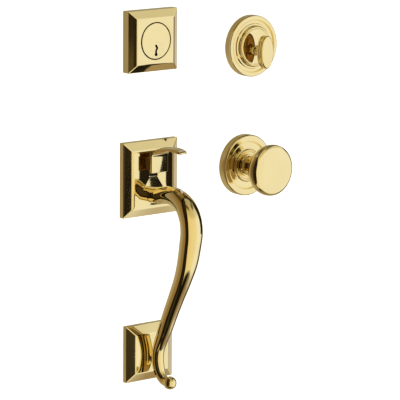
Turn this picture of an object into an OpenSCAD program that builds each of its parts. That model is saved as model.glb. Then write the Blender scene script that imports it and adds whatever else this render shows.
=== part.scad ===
// Entry door handleset in polished brass. Outside: a keyed deadbolt cylinder, and
// a thumb latch grip between two bevelled roses. Inside: a thumb turn and a knob
// on stepped round roses. The five units lie on one door plane, as for display.
// X runs across the door, Y into the door and Z up, in millimetres. The origin is
// the centre of the upper grip rose, on the door plane.

/* [Layout] */
// Height of the deadbolt rose above the upper rose
bolt_up = 139.7; // [130:0.1:160]
// Drop from the upper rose to the lower rose
lower_drop = 179.8; // [165:0.1:210]
// Distance from the upper rose to the thumb turn, across
turn_across = 132.5; // [100:0.5:180]
// Height of the thumb turn's rose above the upper rose
turn_up = 123.6; // [100:0.1:160]
// Distance from the upper rose to the knob, across
knob_across = 125.9; // [100:0.5:180]

/* [Bevelled roses] */
// Width and height of the deadbolt rose
bolt_rose_w = 62.2; // [60:0.1:75]
// Height of the deadbolt rose's upright edge
bolt_side = 8.7; // [7:0.1:12]
// Width of the deadbolt rose's bevel
bolt_bevel = 8; // [6:0.1:8.4]
// Rise of the deadbolt rose's bevel
bolt_rise = 5.1; // [4:0.1:6]
// Width of the upper rose
upper_w = 69.5; // [66:0.1:80]
// Height of the upper rose
upper_h = 76.6; // [74:0.1:90]
// Height of the upper rose's upright edge
upper_side = 5.4; // [5:0.1:8]
// Width of the upper rose's bevel
upper_bevel = 9.6; // [7:0.1:10]
// Rise of the upper rose's bevel
upper_rise = 5.2; // [5:0.1:7]
// Width of the lower rose
lower_w = 60; // [50:0.1:70]
// Height of the lower rose
lower_h = 58.7; // [50:0.1:70]
// Height of the lower rose's upright edge
lower_side = 4.6; // [4.4:0.1:7]
// Width of the lower rose's bevel
lower_bevel = 9.4; // [7:0.1:11]
// Rise of the lower rose's bevel
lower_rise = 5.1; // [3:0.1:6]
// Thickness of the roses' side walls
rose_wall = 3.2; // [2.4:0.1:3.6]
// Thickness of the roses' faces
face_t = 3; // [2.6:0.1:3.4]

/* [Lock cylinder] */
// Diameter of the cylinder's visible head
head_d = 36; // [35.6:0.1:37.6]
// Radial gap between the head and its rose
head_gap = 1; // [0.6:0.1:1.2]
// Height of the head above the rose's face
head_proud = 0.3; // [0:0.1:1]
// Thickness of the rose's ledge that the head seats on
ledge_t = 3.5; // [2.5:0.1:4.5]
// Diameter of the cylinder's body
body_d = 34; // [33.4:0.1:34.6]
// Depth of the body behind the door plane
body_depth = 16.5; // [16:0.1:20]
// Diameter of the plug
plug_d = 14; // [13:0.1:14.4]
// Drop of the plug's axis below the head's centre
plug_drop = 8.5; // [8:0.1:8.8]
// Radial running clearance of the turning parts
run_gap = 0.05; // [0.02:0.01:0.08]
// Diameter of the pins
pin_d = 2.8; // [2.4:0.1:2.9]
// Distance between neighbouring pins
pin_pitch = 3.6; // [3.4:0.1:3.7]
// Width of the tailpiece
tail_w = 6; // [5:0.1:6.4]
// Thickness of the tailpiece
tail_t = 2.2; // [1.8:0.1:2.6]
// Reach of the tailpiece behind the door plane
tail_reach = 33; // [28:0.5:34]

/* [Fixings] */
// Thread diameter of the machine screws
screw_d = 4.2; // [3.8:0.1:4.6]
// Distance between the deadbolt's screws
bolt_screw_span = 25; // [24:0.1:26]
// Height of the deadbolt's screws above its tailpiece
bolt_screw_rise = 11.5; // [10.5:0.1:12]
// Distance between the knob's screws, which is that of the upper posts
knob_screw_span = 34; // [33:0.1:36]
// Reach of the upper posts behind the door plane
post_reach = 17; // [14:0.5:22]
// Diameter of the upper posts
post_d = 6.8; // [6.4:0.1:7.2]
// Reach of the inside screws behind the door plane
screw_reach = 14; // [10:0.5:16]

/* [Thumb lever] */
// Width of the lever's plate and of the root of its rest
thumb_w = 21; // [18:0.1:23]
// Width of the rest at its tip
thumb_tip_w = 11; // [9:0.1:14]
// Reach of the rest from the door plane
thumb_reach = 58.5; // [50:0.1:62]
// Distance of the plate's front from the door plane
plate_out = 20.8; // [19:0.1:23]
// Thickness of the plate
plate_t = 2.8; // [2.4:0.1:3.2]
// Width of the lever's shank in the slot
shank_w = 9.4; // [8.6:0.1:10]
// Side gap between the shank and the slot
slot_gap = 0.6; // [0.4:0.05:0.8]
// Height of the pivot above the rose's centre
pivot_up = 14; // [13.5:0.1:14.5]
// Distance of the pivot from the door plane
pivot_out = 3.4; // [2.8:0.1:3.5]
// Diameter of the pivot pin
pivot_d = 4; // [3.5:0.1:4.4]
// Reach of the lift arm behind the door plane
arm_reach = 34; // [28:0.5:36]

/* [Grip] */
// Reach of the grip's axis from the door plane at its fullest
grip_reach = 72; // [68:0.1:80]
// Thickness of the grip at its fullest
grip_t = 22.4; // [20:0.1:25]
// Diameter of the ball at the lower end
ball_d = 13.5; // [12:0.1:15]
// Drop of the grip's arm below the upper rose's centre
arm_drop = 16.6; // [16:0.1:17.5]
// Drop of the lower post below the lower rose's centre
post_drop = 7.2; // [6:0.1:8]
// Diameter of the lower post's visible stud
stud_d = 5.4; // [4.5:0.1:6]

/* [Thumb turn] */
// Diameter of both round roses
round_d = 63.5; // [62:0.1:70]
// Height of the turn rose's rim
turn_rim = 8.5; // [8.2:0.1:10]
// Height of the turn rose's raised disc
turn_disc = 12; // [11.6:0.1:13]
// Drop of the turn's axis below its rose's centre
turn_drop = 4.2; // [0:0.1:5]
// Height of the turn piece
turn_h = 34; // [30:0.1:38]
// Width of the turn piece
turn_w = 16; // [14.5:0.1:18]
// Projection of the turn piece from the door plane
turn_out = 31.2; // [29.5:0.1:34]

/* [Knob] */
// Diameter of the knob
knob_d = 52.7; // [50:0.1:56]
// Projection of the knob from the door plane
knob_out = 52.8; // [48:0.1:58]
// Height of the knob rose's rim
knob_rim = 9.5; // [9.2:0.1:10.5]
// Diameter of the knob's shank in its bushing
shank_d = 19.8; // [19:0.1:20.4]
// Width across the square spindle
spindle_w = 8; // [7.6:0.1:8.4]
// Reach of the spindle behind the door plane
spindle_reach = 28; // [24:0.5:30]

/* [Hidden] */
$fn = 64;

brass = "goldenrod";
satin_brass = "darkkhaki";
steel = "silver";
bronze = "peru";

// Cuts run past the faces that they open by this much
past = 1;
// Gap between parts that move past each other without a fit
free_gap = 0.3;
edge_r = 0.5;
bolt_soft = 4;
upper_soft = 8;
lower_soft = 3;
cavity_soft = 1;
bolt_face = bolt_side + bolt_rise;
upper_face = upper_side + upper_rise;
lower_face = lower_side + lower_rise;

// Points of an arc in degrees, and the mirror image of a list of points
function arc(c, r, from, to, steps) =
    [for (i = [0:steps]) c + r * [cos(from + (to - from) * i / steps), sin(from + (to - from) * i / steps)]];
function flip(points) = [for (i = [len(points) - 1:-1:0]) [-points[i].x, points[i].y]];

// A smooth curve through points of any dimension, with so many steps a span
function blend(p, q, r, s, t) =
    0.5 * (2 * q + (r - p) * t + (2 * p - 5 * q + 4 * r - s) * t * t + (3 * q - p - 3 * r + s) * t * t * t);
function smooth(points, steps) =
    let (last = len(points) - 1)
    concat(
        [for (i = [0:last - 1], k = [0:steps - 1])
            blend(points[max(i - 1, 0)], points[i], points[i + 1], points[min(i + 2, last)], k / steps)],
        [points[last]]);

// Skin over rings that have the same number of points each
module skin(rings) {
    n = len(rings[0]);
    last = len(rings) - 1;
    sides = [for (i = [0:last - 1], k = [0:n - 1])
        let (a = i * n + k, b = i * n + (k + 1) % n)
        each [[a, b, b + n], [a, b + n, a + n]]];
    polyhedron(
        points = [for (ring = rings) each ring],
        faces = concat([[for (k = [n - 1:-1:0]) k]], sides, [[for (k = [0:n - 1]) last * n + k]]),
        convexity = 6);
}

// Local axes of a unit on the door: x across, y up, z out of the door
module on_door(x, up) {
    translate([x, 0, up]) rotate([90, 0, 0]) children();
}
module upright() {
    rotate([-90, 0, 0]) children();
}
module crosswise() {
    rotate([0, 90, 0]) children();
}

// Outline of a bevelled rose across its face, with a softened inner edge
function bevel_outline(w, base, side, run, rise, soft) =
    let (
        slope = atan(rise / run),
        inner = [w / 2 - run - soft * tan(slope / 2), side + rise - soft],
        outer = [w / 2 - edge_r, side - edge_r * cos(slope) + edge_r * (1 - sin(slope)) * tan(slope)],
        half = concat([[w / 2, base]], arc(outer, edge_r, 0, 90 - slope, 3), arc(inner, soft, 90 - slope, 90, 6)))
    concat(half, flip(half));

module bevel_block(w, h, base, side, run, rise, soft) {
    intersection() {
        rotate([90, 0, 0]) linear_extrude(h, center = true)
            polygon(bevel_outline(w, base, side, run, rise, soft));
        rotate([90, 0, 90]) linear_extrude(w, center = true)
            polygon(bevel_outline(h, base, side, run, rise, soft));
    }
}

module hollow_rose(w, h, side, run, rise, soft) {
    difference() {
        bevel_block(w, h, 0, side, run, rise, soft);
        bevel_block(w - 2 * rose_wall, h - 2 * rose_wall, -past, side - face_t, run, rise, cavity_soft);
    }
}

// A pan head screw whose head rests at z = 0 and whose shank runs to -reach
module pan_screw(d, reach) {
    head_r = d;
    head_h = 0.6 * d;
    slot_w = 0.24 * d;
    difference() {
        union() {
            rotate_extrude() polygon(concat([[0, 0]], [[head_r, 0]],
                arc([head_r - head_h * 0.8, head_h * 0.2], head_h * 0.8, 0, 90, 4), [[0, head_h]]));
            translate([0, 0, -reach]) cylinder(r = d / 2, h = reach);
        }
        for (turn = [0, 90]) rotate(turn)
            translate([-head_r * 0.55, -slot_w / 2, head_h * 0.45]) cube([head_r * 1.1, slot_w, head_h]);
    }
}

// A round wire coil round z, closed by flat ends
module coil(r, wire, turns, height, per_turn) {
    sides = 6;
    steps = turns * per_turn;
    rings = [for (i = [0:steps])
        let (a = 360 * i / per_turn, z = wire / 2 + (height - wire) * i / steps)
        [for (k = [0:sides - 1])
            let (b = 360 * k / sides, out = r + wire / 2 * cos(b))
            [out * cos(a), out * sin(a), z - wire / 2 * sin(b)]]];
    skin(rings);
}

// Deadbolt, outside. Its own axes start at the rose's centre.
head_r = head_d / 2;
head_hole_r = head_r + head_gap;
body_hole_r = body_d / 2 + free_gap;
head_front = bolt_face + head_proud;
plug_r = plug_d / 2;
plug_head_r = plug_r + 0.9;
plug_head_t = 1.8;
thread_r = plug_r - 1;
cap_r = plug_r + 1.4;
cap_t = 1;
thread_end = -body_depth - 4;
cap_top = -body_depth - free_gap;
pin_r = pin_d / 2;
pin_hole_r = pin_r + 0.1;
end_wall = 2.7;
pin_back = -body_depth + end_wall;
pin_room = ledge_t - 2.8;
pin_count = floor((pin_room - pin_back) / pin_pitch) + 1;
pin_out = [for (i = [0:pin_count - 1]) pin_back + pin_pitch * i];
pin_cuts = [4.4, 3.8, 4.6, 3.4, 4.2, 3.6];
shear_gap = 0.4;
driver_h = 3;
flat_up = 12;
cover_t = 1.5;
cover_w = 4.4;
spring_wire = 0.4;
driver_low = -plug_drop + plug_r + shear_gap;
driver_top = driver_low + driver_h;
cover_low = flat_up - cover_t;

module deadbolt_rose() {
    color(brass) on_door(0, bolt_up) difference() {
        union() {
            hollow_rose(bolt_rose_w, bolt_rose_w, bolt_side, bolt_bevel, bolt_rise, bolt_soft);
            cylinder(r = head_hole_r + rose_wall - free_gap, h = bolt_face - face_t / 2);
        }
        translate([0, 0, -past]) cylinder(r = body_hole_r, h = bolt_face + 2 * past);
        translate([0, 0, ledge_t]) cylinder(r = head_hole_r, h = bolt_face);
    }
}

module cylinder_housing() {
    color(brass) on_door(0, bolt_up) difference() {
        union() {
            rotate_extrude() polygon(concat([[0, ledge_t], [head_r, ledge_t]],
                arc([head_r - edge_r, head_front - edge_r], edge_r, 0, 90, 4), [[0, head_front]]));
            difference() {
                translate([0, 0, -body_depth]) cylinder(r = body_d / 2, h = body_depth + ledge_t);
                translate([-body_d / 2, flat_up, -body_depth - past])
                    cube([body_d, body_d, body_depth + ledge_t - free_gap]);
            }
        }
        translate([0, -plug_drop, 0]) {
            translate([0, 0, -body_depth - past]) cylinder(r = plug_r + run_gap, h = body_depth + 2 * head_front);
            translate([0, 0, head_front - plug_head_t - run_gap])
                cylinder(r = plug_head_r + run_gap, h = head_front);
        }
        for (out = pin_out) translate([0, -plug_drop, out]) upright() cylinder(r = pin_hole_r, h = body_d);
        translate([-cover_w / 2, cover_low, -body_depth - past])
            cube([cover_w, body_d, body_depth + ledge_t - free_gap]);
        for (side = [-1, 1])
            translate([side * bolt_screw_span / 2, bolt_screw_rise - plug_drop, -body_depth - past])
                cylinder(r = screw_d / 2, h = body_depth + past + ledge_t);
    }
}

module chamber_cover() {
    color(steel) on_door(0, bolt_up)
        translate([-cover_w / 2, cover_low, -body_depth])
            cube([cover_w, cover_t, body_depth + ledge_t - past - free_gap]);
}

module driver_pins() {
    color(steel) on_door(0, bolt_up)
        for (out = pin_out) translate([0, driver_low, out]) upright() cylinder(r = pin_r, h = driver_h);
}

module pin_springs() {
    color(steel) on_door(0, bolt_up)
        for (out = pin_out) translate([0, driver_top, out]) upright()
            coil(pin_r - spring_wire / 2, spring_wire, 4, cover_low - driver_top, 8);
}

// Broached profile of the keyway, in shares of the plug's radius
keyway = plug_r * [
    [-0.19, 0.68], [-0.19, 0.44], [-0.03, 0.28], [-0.03, 0.08], [-0.18, -0.12], [-0.18, -0.48],
    [-0.26, -0.6], [-0.26, -0.93], [0.24, -0.93], [0.24, -0.62], [0.15, -0.5], [0.15, -0.16],
    [0.34, 0.04], [0.34, 0.34], [0.18, 0.48], [0.18, 0.68]
];

module cylinder_plug() {
    slot_deep = 5.5;
    color(brass) on_door(0, bolt_up) translate([0, -plug_drop, 0]) difference() {
        union() {
            translate([0, 0, head_front - plug_head_t])
                cylinder(r = plug_head_r, h = plug_head_t - run_gap);
            translate([0, 0, cap_top]) cylinder(r = plug_r, h = head_front - plug_head_t - cap_top);
            translate([0, 0, thread_end]) cylinder(r = thread_r, h = cap_top - thread_end);
        }
        translate([0, 0, thread_end + slot_deep]) linear_extrude(2 * head_front - thread_end) polygon(keyway);
        translate([-tail_w / 2, -tail_t / 2, thread_end - past]) cube([tail_w, tail_t, slot_deep + past]);
        for (out = pin_out) translate([0, 0, out]) upright() cylinder(r = pin_hole_r, h = plug_d);
    }
}

module key_pins() {
    tip = 0.9;
    color(satin_brass) on_door(0, bolt_up)
        for (i = [0:len(pin_out) - 1])
            let (cut = pin_cuts[i % len(pin_cuts)])
                translate([0, -plug_drop + plug_r - shear_gap - cut, pin_out[i]]) upright() {
                    cylinder(r1 = pin_r / 3, r2 = pin_r, h = tip);
                    translate([0, 0, tip]) cylinder(r = pin_r, h = cut - tip);
                }
}

module plug_cap() {
    color(satin_brass) on_door(0, bolt_up) translate([0, -plug_drop, 0]) difference() {
        translate([0, 0, thread_end - cap_t]) cylinder(r = cap_r, h = cap_top - thread_end + cap_t);
        translate([0, 0, thread_end]) cylinder(r = thread_r, h = body_depth);
        translate([-tail_w / 2 - free_gap, -tail_t / 2 - free_gap, thread_end - cap_t - past])
            cube([tail_w + 2 * free_gap, tail_t + 2 * free_gap, cap_t + 2 * past]);
    }
}

module cylinder_tailpiece() {
    slot_end = thread_end + 5.5;
    color(steel) on_door(0, bolt_up) translate([-tail_w / 2, -plug_drop - tail_t / 2, -tail_reach])
        cube([tail_w, tail_t, tail_reach + slot_end]);
}

// Grip and its two roses, outside. Their own axes start at the upper rose's centre.
slot_w = shank_w + 2 * slot_gap;
slot_low = 1.8;
shank_low = 8.5;
shank_high = 20;
slot_high = shank_high + free_gap;
seat = upper_face - face_t;
bracket_t = 1.6;
ear_in = shank_w / 2 + 0.6;
ear_t = 2;
small_d = 3;
bracket_half = ear_in + ear_t + small_d + 3.2;
bracket_low = 5;
bracket_high = 25;
small_x = ear_in + ear_t + small_d + 0.6;
small_up = [bracket_low + small_d, bracket_high - small_d];
hub_r = 4.6;
spring_out = -4;
arm_t = 2;
tail_low = pivot_up - 2;
tail_high = pivot_up + 3;
tail_back = -8;
spring_r = 2.6;
spring_d = 0.7;
lug_low = bracket_high - bracket_t;
spigot_r = 1.9;
spigot_h = 1.8;
arm_bore = 14;
bore_spare = 2;

module upper_rose() {
    color(brass) on_door(0, 0) difference() {
        hollow_rose(upper_w, upper_h, upper_side, upper_bevel, upper_rise, upper_soft);
        translate([-slot_w / 2, slot_low, 0]) cube([slot_w, slot_high - slot_low, upper_face + past]);
        translate([0, -arm_drop, 0]) cylinder(r = screw_d / 2 + free_gap, h = upper_face + past);
        for (side = [-1, 1]) {
            translate([side * knob_screw_span / 2, 0, seat - past]) cylinder(r = spigot_r, h = spigot_h + past);
            for (up = small_up)
                translate([side * small_x, up, seat - past]) cylinder(r = small_d / 2, h = spigot_h + past);
        }
    }
}

module upper_posts() {
    bore_end = 2;
    color(steel) on_door(0, 0) for (side = [-1, 1]) translate([side * knob_screw_span / 2, 0, 0])
        difference() {
            union() {
                translate([0, 0, -post_reach]) cylinder(r = post_d / 2, h = post_reach + seat);
                translate([0, 0, seat]) cylinder(r = spigot_r, h = spigot_h);
            }
            translate([0, 0, -post_reach - past]) cylinder(r = screw_d / 2, h = post_reach + past + bore_end);
        }
}

// Stations of the grip's axis: its reach as a share of grip_reach, its drop from
// the arm as a share of the way to the lower rose, and its thickness as a share.
way = lower_drop - arm_drop;
stations = [
    [0.11, 0.003, 0.74], [0.19, 0, 0.74], [0.33, -0.008, 0.775], [0.49, -0.02, 0.80],
    [0.65, -0.016, 0.84], [0.79, 0.006, 0.885], [0.905, 0.05, 0.955], [0.98, 0.113, 0.99],
    [1, 0.183, 1], [0.978, 0.251, 0.99], [0.917, 0.371, 0.93], [0.811, 0.49, 0.81],
    [0.676, 0.608, 0.735], [0.545, 0.722, 0.695], [0.429, 0.831, 0.66], [0.33, 0.918, 0.60],
    [0.278, 0.975, 0.572], [0.262, 1.026, 0.563], [0.278, 1.075, 0.545],
    [0.32, 1.121, 0.50], [0.39, 1.154, 0.445], [0.45, 1.163, 0.42]
];
axis = [for (s = smooth(stations, 3)) [s[0] * grip_reach, -arm_drop - s[1] * way, s[2] * grip_t / 2]];
axis_end = axis[len(axis) - 1];
ball_r = ball_d / 2;
neck_r = axis_end[2];
ball_out = axis_end[0] + 1.6 + sqrt(ball_r * ball_r - neck_r * neck_r);
ball_from = -acos(neck_r / ball_r);
ball_to = 86;
ball_rings = [for (i = [0:9]) let (a = ball_from + (ball_to - ball_from) * i / 9)
    [ball_out + ball_r * sin(a), axis_end[1], ball_r * cos(a)]];
grip_path = concat(axis, ball_rings);
post_at = 1 + post_drop / way;
post_out = grip_reach * lookup(post_at, [for (i = [14:20]) [stations[i][1], stations[i][0]]]);

function ring(i) =
    let (
        last = len(grip_path) - 1,
        here = grip_path[i],
        ahead = grip_path[min(i + 1, last)] - grip_path[max(i - 1, 0)],
        way_to = [ahead[0], ahead[1]] / norm([ahead[0], ahead[1]]),
        across = [-way_to.y, way_to.x])
    [for (k = [0:21]) let (a = 360 * k / 22)
        [here[2] * cos(a), here[1] + here[2] * sin(a) * across.y, here[0] + here[2] * sin(a) * across.x]];

module grip() {
    color(brass) on_door(0, 0) difference() {
        skin([for (i = [0:len(grip_path) - 1]) ring(i)]);
        translate([-grip_t, -arm_drop - grip_t, 0]) cube([2 * grip_t, 2 * grip_t, upper_face]);
        translate([0, -arm_drop, 0]) cylinder(r = screw_d / 2, h = upper_face + arm_bore);
        translate([0, -lower_drop - post_drop, 0]) cylinder(r = stud_d / 2, h = post_out);
    }
}

module grip_screw() {
    color(steel) on_door(0, 0) translate([0, -arm_drop, seat]) mirror([0, 0, 1])
        pan_screw(screw_d, face_t + arm_bore - bore_spare);
}

module lower_rose() {
    color(brass) on_door(0, -lower_drop) difference() {
        hollow_rose(lower_w, lower_h, lower_side, lower_bevel, lower_rise, lower_soft);
        translate([0, -post_drop, 0]) cylinder(r = stud_d / 2 + free_gap / 2, h = lower_face + past);
    }
}

module lower_post() {
    collar_r = stud_d / 2 + 2;
    bore_deep = 12;
    color(steel) on_door(0, -lower_drop) translate([0, -post_drop, 0]) difference() {
        union() {
            translate([0, 0, lower_face - face_t]) cylinder(r = stud_d / 2, h = post_out - lower_face + face_t);
            translate([0, 0, -screw_reach]) cylinder(r = collar_r, h = screw_reach + lower_face - face_t);
        }
        translate([0, 0, -screw_reach - past]) cylinder(r = screw_d / 2, h = bore_deep + past);
    }
}

// Side of the lever, out and up: upright plate, cove and arched rest
plate_low = 7.3;
cove_r = 6.5;
rest_low = 29.6;
lever_side = concat(
    [[plate_out - plate_t, plate_low], [plate_out, plate_low]],
    arc([plate_out + cove_r, rest_low - cove_r], cove_r, 180, 90, 6),
    smooth([
        [plate_out + cove_r + 4, rest_low + 1], [thumb_reach * 0.68, rest_low + 2.6],
        [thumb_reach * 0.84, rest_low + 2.6], [thumb_reach - 1, rest_low + 1.4]], 3),
    arc([thumb_reach - 1.2, rest_low + 2.4], 1.2, -60, 60, 4),
    smooth([
        [thumb_reach - 3, rest_low + 4.6], [thumb_reach * 0.82, rest_low + 5.7],
        [thumb_reach * 0.66, rest_low + 5.8], [thumb_reach * 0.5, rest_low + 4.6],
        [plate_out + 2, rest_low + 2.2], [plate_out - plate_t + 1, rest_low + 1]], 3),
    [[plate_out - plate_t, rest_low]]);

// Plan of the lever, across and out: full width at the plate, narrow at the tip
tip_r = 2.4;
lever_half = concat(
    [[thumb_w / 2, plate_out - plate_t], [thumb_w / 2, plate_out + 2]],
    arc([thumb_tip_w / 2 - tip_r, thumb_reach - tip_r], tip_r, 12, 90, 4));

module thumb_lever() {
    crown_r = 36;
    color(brass) on_door(0, 0) difference() {
        union() {
            intersection() {
                rotate([0, -90, 0]) linear_extrude(thumb_w + 2, center = true)
                    polygon([for (p = lever_side) [p.x, p.y]]);
                rotate([90, 0, 0]) linear_extrude(3 * rest_low, center = true)
                    polygon(concat(lever_half, flip(lever_half)));
                translate([0, rest_low + 6.4 - crown_r, -past]) cylinder(r = crown_r, h = 2 * thumb_reach, $fn = 96);
            }
            translate([-shank_w / 2, shank_low, pivot_out])
                cube([shank_w, shank_high - shank_low, plate_out - plate_t - pivot_out]);
            translate([-shank_w / 2, pivot_up, pivot_out]) crosswise() cylinder(r = hub_r, h = shank_w);
            translate([-shank_w / 2, tail_low, tail_back]) cube([shank_w, tail_high - tail_low, pivot_out - tail_back]);
        }
        translate([-shank_w, pivot_up, pivot_out]) crosswise() cylinder(r = pivot_d / 2 + run_gap, h = 2 * shank_w);
        rivet_holes(tail_low - past, tail_high - tail_low + 2 * past);
    }
}

rivet_r = 1;
arm_from = hub_r - pivot_out + free_gap;
rivet_out = [tail_back + 1.6, -arm_from - 1.9];
rivet_x = shank_w / 5;
module rivet_holes(low, h) {
    for (out = rivet_out, side = [-1, 1])
        translate([side * rivet_x, low, out]) upright() cylinder(r = rivet_r, h = h);
}

module lift_arm() {
    arm_w = shank_w - 2;
    nose = 3;
    color(steel) on_door(0, 0) difference() {
        translate([0, tail_low - arm_t, 0]) upright() linear_extrude(arm_t)
            polygon([
                [-arm_w / 2, arm_from], [arm_w / 2, arm_from], [arm_w / 2, arm_reach - nose],
                [arm_w / 2 - nose, arm_reach], [nose - arm_w / 2, arm_reach], [-arm_w / 2, arm_reach - nose]]);
        rivet_holes(tail_low - arm_t - past, arm_t + 2 * past);
    }
}

module arm_rivets() {
    dome_h = 0.7;
    color(steel) on_door(0, 0) for (out = rivet_out, side = [-1, 1])
        translate([side * rivet_x, tail_low - arm_t, out]) upright() {
            cylinder(r = rivet_r, h = arm_t + tail_high - tail_low);
            translate([0, 0, -dome_h]) cylinder(r1 = rivet_r, r2 = 1.4 * rivet_r, h = dome_h);
        }
}

module thumb_bracket() {
    lug_w = 2 * spring_r + 4;
    ear_r = 4;
    color(steel) on_door(0, 0) difference() {
        union() {
            translate([-bracket_half, bracket_low, seat - bracket_t])
                cube([2 * bracket_half, bracket_high - bracket_low, bracket_t]);
            for (side = [-1, 1]) translate([side * (ear_in + ear_t / 2) - ear_t / 2, 0, 0]) {
                translate([0, pivot_up, pivot_out]) crosswise() cylinder(r = ear_r, h = ear_t);
                translate([0, pivot_up - ear_r, pivot_out]) cube([ear_t, 2 * ear_r, seat - pivot_out]);
            }
            translate([-lug_w / 2, lug_low, tail_back]) cube([lug_w, bracket_t, seat - tail_back]);
        }
        translate([-slot_w / 2, bracket_low - past, seat - bracket_t - past])
            cube([slot_w, slot_high - bracket_low + past, bracket_t + 2 * past]);
        translate([-bracket_half, pivot_up, pivot_out]) crosswise() cylinder(r = pivot_d / 2, h = 2 * bracket_half);
        for (side = [-1, 1], up = small_up)
            translate([side * small_x, up, 0]) cylinder(r = small_d / 2, h = upper_face);
    }
}

module bracket_screws() {
    color(steel) on_door(0, 0) for (side = [-1, 1], up = small_up)
        translate([side * small_x, up, seat - bracket_t]) mirror([0, 0, 1])
            pan_screw(small_d, bracket_t + spigot_h);
}

module thumb_pin() {
    overhang = 0.8;
    half = ear_in + ear_t + overhang;
    color(steel) on_door(0, 0) translate([-half, pivot_up, pivot_out]) crosswise()
        cylinder(r = pivot_d / 2, h = 2 * half);
}

module thumb_spring() {
    color(steel) on_door(0, 0) translate([0, tail_high, spring_out]) upright()
        coil(spring_r, spring_d, 4, lug_low - tail_high, 16);
}

// Round roses: outlines of radius and height, the outer skin first
round_r = round_d / 2;
round_wall = 2.2;
plate_r = round_r - round_wall - 0.1;
plate_h = 2;
under_rim = 5.8;
journal_r = 4;
boss_low = 5;
clip_t = 0.9;
washer_t = 0.6;
washer_low = boss_low - free_gap - washer_t;
clip_low = washer_low - free_gap - clip_t;
journal_end = 1.5;
tang_w = 5;
tang_reach = 6;
spindle_r = 4.6;
turn_spindle_reach = 26;

turn_rose_outline = concat(
    [[round_r, 0], [round_r, turn_rim - 1.4]],
    arc([round_r - 1.4, turn_rim - 1.4], 1.4, 15, 90, 4),
    [[27.6, turn_rim], [27.3, turn_rim - 0.8], [23.4, turn_rim - 0.7]],
    arc([23, turn_disc - 0.6], 2.8, 270, 180, 5),
    arc([19.7, turn_disc - 0.5], 0.5, 0, 90, 3),
    [[18.9, turn_disc], [18.7, turn_disc - 0.35], [18.3, turn_disc - 0.35], [18.1, turn_disc], [0, turn_disc]],
    [[0, turn_disc - 2.5], [17.2, turn_disc - 2.5], [21, under_rim], [round_r - round_wall, under_rim]],
    [[round_r - round_wall, 0]]);

module turn_rose() {
    boss_r = 7.5;
    color(brass) on_door(turn_across, turn_up) difference() {
        union() {
            rotate_extrude($fn = 96) polygon(turn_rose_outline);
            translate([0, -turn_drop, boss_low]) cylinder(r = boss_r, h = turn_disc - 1 - boss_low);
        }
        translate([0, -turn_drop, 0]) cylinder(r = journal_r + run_gap, h = turn_disc + past);
    }
}

module turn_plate() {
    color(steel) on_door(turn_across, turn_up) difference() {
        cylinder(r = plate_r, h = plate_h);
        translate([0, -turn_drop, -past]) cylinder(r = 7, h = plate_h + 2 * past);
        for (side = [-1, 1])
            translate([side * bolt_screw_span / 2, bolt_screw_rise - turn_drop, -past])
                cylinder(r = screw_d / 2 + free_gap, h = plate_h + 2 * past);
    }
}

module turn_screws() {
    color(steel) on_door(turn_across, turn_up) for (side = [-1, 1])
        translate([side * bolt_screw_span / 2, bolt_screw_rise - turn_drop, plate_h])
            pan_screw(screw_d, plate_h + screw_reach);
}

module turn_washer() {
    color(steel) on_door(turn_across, turn_up - turn_drop) translate([0, 0, washer_low]) difference() {
        cylinder(r = journal_r + 2.8, h = washer_t);
        translate([0, 0, -past]) cylinder(r = journal_r + free_gap, h = washer_t + 2 * past);
    }
}

// Oval rings of the turn piece: half width, half height and height off the door
turn_back = turn_out - 9.8;
function oval(a, b, z) = [for (k = [0:35]) [a * cos(10 * k), -b * sin(10 * k), z]];
turn_rings = [
    [0.68, 0.80, 0], [0.88, 0.94, 0.5], [0.96, 0.985, 1.4], [0.98, 0.99, 2.8], [0.96, 0.985, 3.6],
    [0.88, 0.95, 3.9], [0.88, 0.95, 4.6], [0.98, 0.99, 4.9], [1, 1, 5.6], [1, 1, 8.2],
    [0.98, 0.99, 9.1], [0.93, 0.965, 9.5], [0.89, 0.945, 9.4], [0.86, 0.93, 9.2], [0.6, 0.65, 9.6], [0.3, 0.33, 9.8]
];

module turn_piece() {
    foot = turn_disc + free_gap;
    color(brass) on_door(turn_across, turn_up - turn_drop) difference() {
        union() {
            skin([for (s = turn_rings) oval(s[0] * turn_w / 2, s[1] * turn_h / 2, turn_back + s[2])]);
            rotate_extrude() polygon(concat(
                [[0, journal_end], [journal_r, journal_end], [journal_r, foot]],
                [[5.4, foot], [5.4, foot + 0.6]],
                smooth([[5, foot + 1], [3.9, foot + 3.4], [4, foot + 5.4], [5.2, foot + 8], [6.4, turn_back + 1]], 4),
                [[0, turn_back + 1]]));
            translate([-tang_w / 2, -tang_w / 2, journal_end - tang_reach]) cube([tang_w, tang_w, tang_reach + past]);
        }
        translate([0, 0, clip_low]) difference() {
            cylinder(r = journal_r + past, h = clip_t);
            translate([0, 0, -past]) cylinder(r = journal_r - 0.7, h = clip_t + 2 * past);
        }
    }
}

module turn_spindle() {
    slot_deep = turn_spindle_reach - 7;
    play = 0.2;
    color(steel) on_door(turn_across, turn_up - turn_drop) difference() {
        translate([0, 0, -turn_spindle_reach]) cylinder(r = spindle_r, h = turn_spindle_reach + journal_end);
        translate([-tang_w / 2, -tang_w / 2, journal_end - tang_reach]) cube([tang_w, tang_w, 2 * tang_reach]);
        translate([-tail_t / 2 - play, -tail_w / 2 - play, -turn_spindle_reach - past])
            cube([tail_t + 2 * play, tail_w + 2 * play, slot_deep + past]);
    }
}

module turn_clip() {
    color(steel) on_door(turn_across, turn_up - turn_drop) translate([0, 0, clip_low]) difference() {
        cylinder(r = journal_r + 2.4, h = clip_t);
        translate([0, 0, -past]) cylinder(r = journal_r - 0.7, h = clip_t + 2 * past);
        translate([-2.2, 0, -past]) cube([4.4, journal_r + 3, clip_t + 2 * past]);
    }
}

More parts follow.
